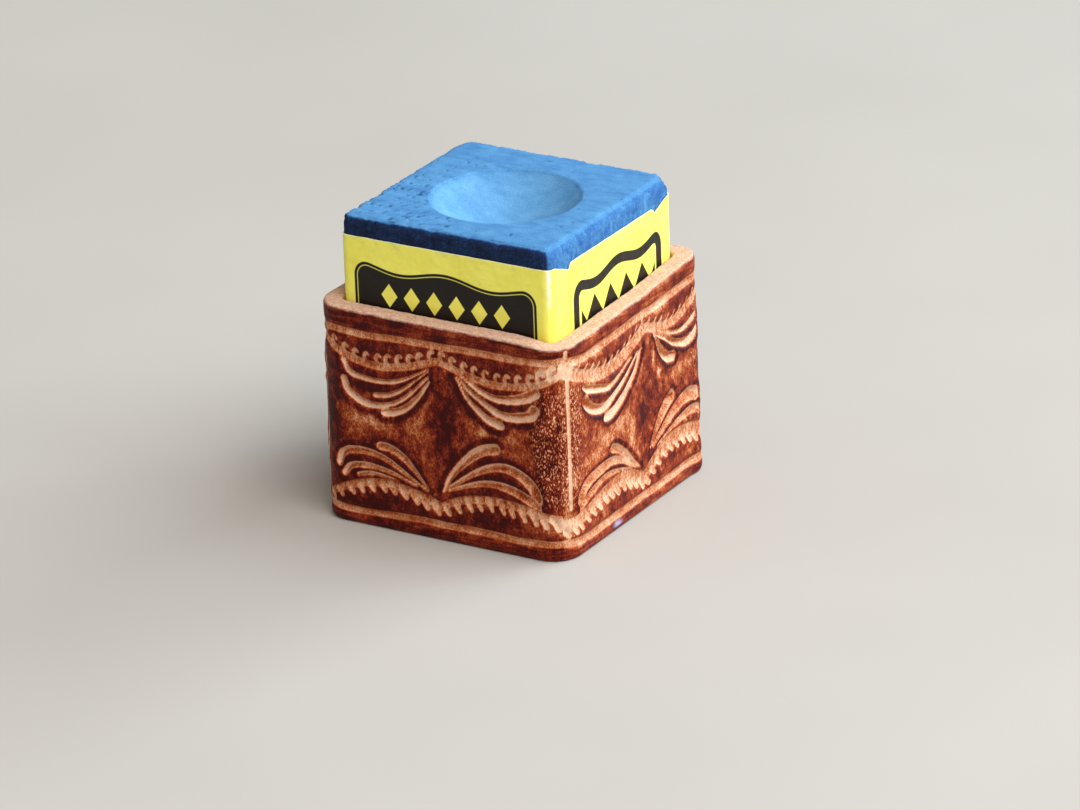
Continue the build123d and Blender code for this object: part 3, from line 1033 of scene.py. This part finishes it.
def build_thread(material):
    """Three strands twisted together, laced through the stitch holes."""
    path = round_bends(lace_route(), THREAD_BEND, THREAD_STEP)
    ahead = np.gradient(path, axis=0)
    ahead /= np.linalg.norm(ahead, axis=1)[:, None]
    around = np.linspace(0, 2 * math.pi, 18, endpoint=False)
    side = np.array((0.0, 0.0, 1.0))
    rings = []
    for n, (point, way) in enumerate(zip(path, ahead)):
        side = side - way * (side @ way)
        side /= np.linalg.norm(side)
        other = np.cross(way, side)
        twist = n * THREAD_STEP * 2 * math.pi / THREAD_TWIST
        strands = 0.84 + 0.16 * np.abs(np.cos(1.5 * (around - twist)))
        taper = min(1.0, 0.35 + 0.65 * min(n, len(path) - 1 - n) / 4)
        across, up = (circle(around) * (THREAD * 0.98 * strands * taper)[:, None]).T[..., None]
        rings.append(point + across * side + up * other)
    verts, faces = stack_rings(rings)
    make_piece("seam_lacing", verts, faces, material, "holder", ["seam_thread"])


# ---- the stack under the chalk
PAD_STEPS = 288
PAD_CORNER = 0.98
PAD_EDGE = 0.15  # the rounding of its cut edges
PAD_HUB = 0.6  # radius of the last ring before a plain face's middle
WINDOW = 9.6  # radius of the spacer's hole for the magnet
DENT = 0.12  # how far the cover is pressed down over the magnet
DENT_EDGE = (9.2, 9.9)  # radii between which that dent fades out
MAGNET_STEPS = 144
MAGNET_EDGE = 0.3


def slab_profile(floor, top, edge, count, straight):
    """Up the side of a slab with rounded edges: each row's inset and height."""
    rows = [(side, floor + up) for side, up in rounding(edge, count)]
    rows += [(0.0, z) for z in np.linspace(floor + 2 * edge, top - 2 * edge, straight)]
    return rows + [(side, top - down) for down, side in rounding(edge, count)]


def build_pad(name, node, material, window=0.0, dent=0.0):
    """A knife-cut square of leather, with a round window of a given radius or a round dent in its top."""
    half, floor, top = extent(node)
    s = np.arange(PAD_STEPS) / PAD_STEPS * square_length(half, PAD_CORNER)
    rings = []
    for inset, z in slab_profile(floor, top, PAD_EDGE, 4, 5):
        ring = at_height(round_square(s, half, PAD_CORNER, inset), z)
        cut = 0.05 + 0.05 * grain(ring * (1, 1, 2.0), 1.4, 3, seed=8)
        ring[:, :2] *= 1 - np.clip(cut, 0, 0.2)[:, None] / half
        rings.append(ring)
    foot, edge = rings[0][:, :2], rings[-1][:, :2]
    hole = circle(np.arctan2(edge[:, 1], edge[:, 0])) * (window or PAD_HUB)
    for t in np.linspace(0, 1, 12 if window else 26)[1:]:
        ring = at_height(edge * (1 - t) + hole * t, top)
        away = np.hypot(ring[:, 0], ring[:, 1])
        sunk = dent * (1 - smoothstep(*DENT_EDGE, away))
        ring[:, 2] -= sunk + 0.03 + 0.03 * grain(ring, 0.8, 3, seed=9)
        rings.append(ring)
    shares = np.linspace(1, 0, 8 if window else 12)[:-1]
    under = [at_height(foot * (1 - t) + hole * t, floor) for t in shares]
    if window:
        wall = [at_height(hole, z) for z in np.linspace(top - 0.2, floor + 0.2, 5)]
        verts, faces = stack_rings(rings + wall + under, meet=True)
    else:
        verts, faces = stack_rings(under + rings)
    make_piece(name, verts, faces, material, "holder", [node])


def build_magnet(material):
    """A plated disc with rounded edges."""
    radius, floor, top = extent("magnet")
    flats = (0.5, 4.0, 8.0, radius - MAGNET_EDGE * 1.2)
    side = [(radius - inset, z) for inset, z in slab_profile(floor, top, MAGNET_EDGE, 6, 4)]
    profile = [(r, floor) for r in flats] + side + [(r, top) for r in reversed(flats)]
    around = np.linspace(0, 2 * math.pi, MAGNET_STEPS, endpoint=False)
    verts, faces = stack_rings([at_height(r * circle(around), z) for r, z in profile])
    make_piece("plated_magnet", verts, faces, material, "holder", ["magnet"])


# ---- the chalk
CHALK_STEPS = 400
CHALK_CORNER = 0.8
CHALK_EDGE = 0.35
CUP = np.array((0.25, -0.4))  # its middle
CUP_RADIUS = 7.1
CUP_SPHERE = 9.476  # radius of the ball that it fits

# The powder, from 0 for a dark crust to 1: on each side in the strip's order, on the top, and in the cup
CHALK_CRUST = np.array((0.35, 0.14, 0.07, 0.47))
TOP_POWDER = 0.6
CUP_POWDER = (0.62, 0.75)

# Broken corners of the top: direction, then how far from the axis the break meets the top, and its steepness
BREAKS = [((1, 1), 20.5, 0.85), ((-1, 1), 21.1, 0.6), ((-1, -1), 21.2, 0.7), ((1, -1), 21.4, 0.5)]


def chalk_rings(s, crust, floor, half, top):
    """Rings up the sides and into the cup: places, height, powder, distance from the top's edge."""
    skin = round_square(s, half, CHALK_CORNER)
    heights = [*np.linspace(floor, 26.6, 9), *np.linspace(26.8, top - CHALK_EDGE, 20)]
    rings = [(skin, z, crust, top - z) for z in heights]
    for turned, (down, inset) in list(zip(np.linspace(0, 1, 6), rounding(CHALK_EDGE, 6)))[1:]:
        powder = crust + (TOP_POWDER - crust) * smoothstep(0.25, 0.9, turned)
        rings.append((round_square(s, half, CHALK_CORNER, inset), top - down, powder, 0.0))
    edge = rings[-1][0]
    ray = circle(np.arctan2(edge[:, 1] - CUP[1], edge[:, 0] - CUP[0]))
    rim = CUP + ray * (CUP_RADIUS + 0.2)
    for t in np.linspace(0, 1, 25)[1:]:
        flat = edge * (1 - t) + rim * t
        rings.append((flat, top, TOP_POWDER, CHALK_EDGE + np.linalg.norm(flat - edge, axis=1)))
    low_powder, high_powder = CUP_POWDER
    for r in [CUP_RADIUS, 7.0, 6.88, *np.linspace(6.7, 0.25, 32)]:
        depth = math.sqrt(CUP_SPHERE**2 - r**2) - math.sqrt(CUP_SPHERE**2 - CUP_RADIUS**2)
        lip = 0.05 if r > 6.95 else 0.0
        powder = low_powder + (high_powder - low_powder) * smoothstep(7.1, 6.6, r)
        rings.append((CUP + ray * r, top - max(depth, 0.0) - lip, powder, 4.0))
    return rings


def build_chalk(material):
    """The pressed block: a square with a cup in its top, chipped, pitted and broken at its corners."""
    half, floor, top = extent("chalk_block")
    length = square_length(half, CHALK_CORNER)
    s = np.arange(CHALK_STEPS) / CHALK_STEPS * length
    facing = np.floor(s / (length / 4) + 0.5).astype(int) % 4
    rings = chalk_rings(s, CHALK_CRUST[facing], floor, half, top)
    points, tone, gap = unpack(rings)
    skin = rings[0][0]
    outward = np.tile(skin / np.linalg.norm(skin, axis=1)[:, None], (len(rings), 1))
    in_cup = np.hypot(points[:, 0] - CUP[0], points[:, 1] - CUP[1]) < CUP_RADIUS
    on_top = points[:, 2] > top - 0.01
    coarse = grain(points, 0.9, 3, seed=11)
    medium = grain(points, 2.4, 2, seed=12)
    fine = grain(points, 5.0, 2, seed=13)

    # chips along the top edges, ragged on the front and rubbed smooth on the right
    chips = 0.1 + 0.3 * np.maximum(coarse + 0.1, 0) + 0.22 * np.maximum(medium, 0)
    chips = np.where(np.tile(facing == RIGHT, len(rings)), 0.3 + 0.08 * coarse, chips)
    chips *= np.exp(-((gap / 0.55) ** 2))
    points[:, 2] -= 0.7 * chips
    points[:, :2] -= outward * (0.7 * chips)[:, None]

    # pits and short cracks in the top, thickest towards the front left
    open_at = 0.7 - 0.36 * smoothstep(-2.5, -9.5, points[:, 0] * 0.75 + points[:, 1] * 0.75)
    holes = grain(points * (1, 0.6, 1), 2.3, 2, seed=14)
    pits = np.where(on_top & ~in_cup, smoothstep(0.0, 0.22, holes - open_at), 0.0)
    points[:, 2] -= 0.2 * pits + np.where(on_top | in_cup, 0.014 + 0.008 * fine + 0.01 * medium, 0.0)
    scars = smoothstep(0.2, 0.55, grain(points * (1, 1, 0.35), 1.8, 3, seed=15)) * ~on_top * ~in_cup
    points[:, :2] -= outward * (0.12 * scars + 0.03)[:, None]
    points[:, 2] = np.minimum(points[:, 2], top)

    broken = np.zeros(len(points))
    for (sx, sy), reach, steep in BREAKS:
        normal = np.array((sx, sy, steep))
        over = points[:, 0] * sx + points[:, 1] * sy + steep * (points[:, 2] - top) - reach
        over = np.maximum(over + 0.3 * coarse + 0.12 * medium, 0) / (normal @ normal)
        points -= over[:, None] * normal
        broken = np.maximum(broken, smoothstep(0.05, 0.3, over))
    tone = np.where(on_top | in_cup, tone, tone + 0.14 * np.maximum(fine, 0) + 0.1 * scars)
    tone = tone + (0.44 - tone) * broken

    # the middles of the underside and of the cup come last
    stored = {"powder": [*tone, 0.3, 0.85], "pit": [*np.clip(pits * 0.8, 0, 1), 0, 0]}
    verts, faces = stack_rings(np.split(points, len(rings)))
    make_piece("pressed_block", verts, faces, material, "chalk", ["chalk_block"], stored)


# ---- the label
PAPER = 0.15
FOLD = 0.25  # the rounding at its foot
TAB_HALF = 7.8
TAB_TOP = 27.525
TAB_CORNER = 0.6
FLAP_LOW = 26.925
FLAP_END = 10.3
FINE_FROM, FINE_TO = 8.1, 7.1  # columns lie closer together between these places, at the ends of each tab


def label_top(across, on_side, top):
    """Height of the label's upper edge. Its sides have a tab laid over two sloping flaps."""
    away = np.abs(across)
    slope = np.interp(away, [TAB_HALF, FLAP_END], [FLAP_LOW, top])
    cut = np.clip(TAB_CORNER - (TAB_HALF - away), 0, TAB_CORNER)
    tab = TAB_TOP - TAB_CORNER + np.sqrt(np.maximum(TAB_CORNER**2 - cut**2, 0))
    return np.where(on_side, np.where(away < TAB_HALF, tab, slope), top)


def build_label(material):
    """Paper folded up round the chalk from a square bottom panel, with its inner face and its cut edge."""
    half, floor, top = extent("paper_label")
    corner = CHALK_CORNER + PAPER
    quarter = square_length(half, corner) / 4
    end = [*np.linspace(-quarter / 2, -FINE_FROM, 22)[:-1], *np.linspace(-FINE_FROM, -FINE_TO, 14)]
    v = np.concatenate([end, np.linspace(-FINE_TO, FINE_TO, 58)[1:-1], np.negative(end[:0:-1])])
    s = np.concatenate([side * quarter + v for side in range(4)]) % (4 * quarter)
    on_side = np.repeat([False, True, False, True], len(v))
    across = np.tile(v, 4)
    edge = label_top(across, on_side, top)
    edge = edge - 0.03 - 0.03 * grain(np.column_stack([s, s * 0, s * 0]), 0.7, 3, seed=21)
    recess = np.where(on_side & (np.abs(across) > TAB_HALF), 0.07, 0.0)

    def around(inset):
        return round_square(s, half, corner, inset)

    # each ring: its places, its height, how white its paper is rubbed and how dusty it is
    rings = [(around(FOLD) * (1 - share), floor, 0.0, 0.0) for share in (0.94, 0.6, 0.3)]
    rings += [(around(side), floor + up, 0.25, 0.0) for side, up in rounding(FOLD, 4)]
    for t in [*np.linspace(0, 1, 30)[1:-1], 0.9975, 1.0]:
        ripple = 0.03 * grain(at_height(around(0.0), t * 20), 0.22, 2, seed=22)
        z = floor + FOLD + (edge - floor - FOLD) * t
        inset = np.clip(recess + 0.03 + ripple, 0.0, 0.12)
        rings.append((around(inset), z, 0.85 * float(t == 1.0), 0.3 * smoothstep(0.955, 1.0, t)))
    rings.append((around(PAPER * 0.85 + recess * 0.1), edge + 0.01, 1.0, 0.2))
    for t in (0.99, 0.5, 0.0):
        rings.append((around(PAPER - 0.01), floor + PAPER + (edge - floor - PAPER) * t, 0.3, 0.3))
    rings += [(around(FOLD) * (1 - share), floor + PAPER - 0.02, 0.0, 0.0) for share in (0.3, 0.94)]
    points, white, dusty = unpack(rings)
    stored = {"edge": [*white, 0, 0], "dusty": [*dusty, 0, 0]}
    verts, faces = stack_rings(np.split(points, len(rings)))
    make_piece("wrapped_label", verts, faces, material, "chalk", ["paper_label"], stored)


# ---- stage
AIM_HEIGHT = 14.0  # of the point that the lights and the camera are set round
FLOOR_HALF = 3.0  # metres
LIGHT_DISTANCE = 0.9  # metres
COOL, NEUTRAL = (0.78, 0.9, 1.0), (1.0, 0.99, 0.98)
WORLD_LIGHT = 0.37

# Each light's azimuth and elevation in degrees, its size in metres, its power in watts and its colour
LIGHTS = {
    "key": (108, 44, 0.8, 9.6, COOL),
    "window": (52, 48, 0.5, 4.9, NEUTRAL),
    "sheen": (150, 20, 0.5, 7.0, COOL),
}

# The camera's azimuth, elevation and roll in degrees, its distance, and how far it is moved right and up
CAMERA_ANGLES = (31.24, 22.54)
CAMERA_ROLL = -1.96
CAMERA_DISTANCE = 604.56
CAMERA_MOVED = (2.654, -4.924)
CAMERA_SENSOR, CAMERA_LENS = 36.0, 216.8


def direction(azimuth, elevation):
    """From the object towards a place seen at these angles. Azimuth 0 is in front, and 90 is at +X."""
    a, e = math.radians(azimuth), math.radians(elevation)
    return Vector((math.sin(a) * math.cos(e), -math.cos(a) * math.cos(e), math.sin(e)))


def build_stage():
    """A plain pale floor."""
    paint = Paint("stage_floor")
    colour = paint.noise(0.02, 2.0).ramp((0.3, 176, 168, 158), (0.7, 181, 173, 163))
    corners = [(FLOOR_HALF * x, FLOOR_HALF * y, 0) for x, y in ((-1, -1), (1, -1), (1, 1), (-1, 1))]
    mesh = bpy.data.meshes.new("stage_floor")
    mesh.from_pydata(corners, [], [(0, 1, 2, 3)])
    mesh.materials.append(paint.finish(colour, 0.9, None))
    show("stage_floor", mesh)


def build_lights():
    for name, (azimuth, elevation, size, power, colour) in LIGHTS.items():
        light = bpy.data.lights.new(name, "AREA")
        light.shape, light.size, light.energy, light.color = "SQUARE", size, power, colour
        back = direction(azimuth, elevation)
        lamp = show(name, light)
        lamp.location = Vector((0, 0, AIM_HEIGHT * MM)) + back * LIGHT_DISTANCE
        lamp.rotation_mode = "QUATERNION"
        lamp.rotation_quaternion = back.to_track_quat("Z", "Y")
    world = bpy.data.worlds.new("studio")
    world.use_nodes = True
    sky = world.node_tree.nodes["Background"].inputs
    sky["Color"].default_value = (*NEUTRAL, 1)
    sky["Strength"].default_value = WORLD_LIGHT
    bpy.context.scene.world = world


def build_camera():
    """The photograph's view."""
    back = direction(*CAMERA_ANGLES)
    roll = math.radians(CAMERA_ROLL)
    level = (-back).cross(Vector((0, 0, 1))).normalized()
    upright = level.cross(-back)
    right = level * math.cos(roll) + upright * math.sin(roll)
    up = upright * math.cos(roll) - level * math.sin(roll)
    to_right, to_up = CAMERA_MOVED
    place = Vector((0, 0, AIM_HEIGHT)) + back * CAMERA_DISTANCE + right * to_right + up * to_up
    data = bpy.data.cameras.new("camera")
    data.sensor_width, data.lens = CAMERA_SENSOR, CAMERA_LENS
    data.clip_start, data.clip_end = 0.05, 10.0
    camera = show("camera", data)
    axes = Matrix((right, up, back)).transposed().to_4x4()
    camera.matrix_world = Matrix.Translation(place * MM) @ axes
    bpy.context.scene.camera = camera


build_camera()
build_stage()
build_lights()
bpy.context.scene.view_settings.view_transform = "Standard"
leather = plain_leather()
build_sleeve(tooled_leather())
build_thread(waxed_thread())
build_pad("sole_pad", "floor_pad", leather)
build_pad("spacer_pad", "magnet_spacer", leather, window=WINDOW)
build_pad("cover_pad", "magnet_cover", leather, dent=DENT)
build_magnet(nickel_plating())
build_chalk(pressed_chalk())
build_label(label_paper())
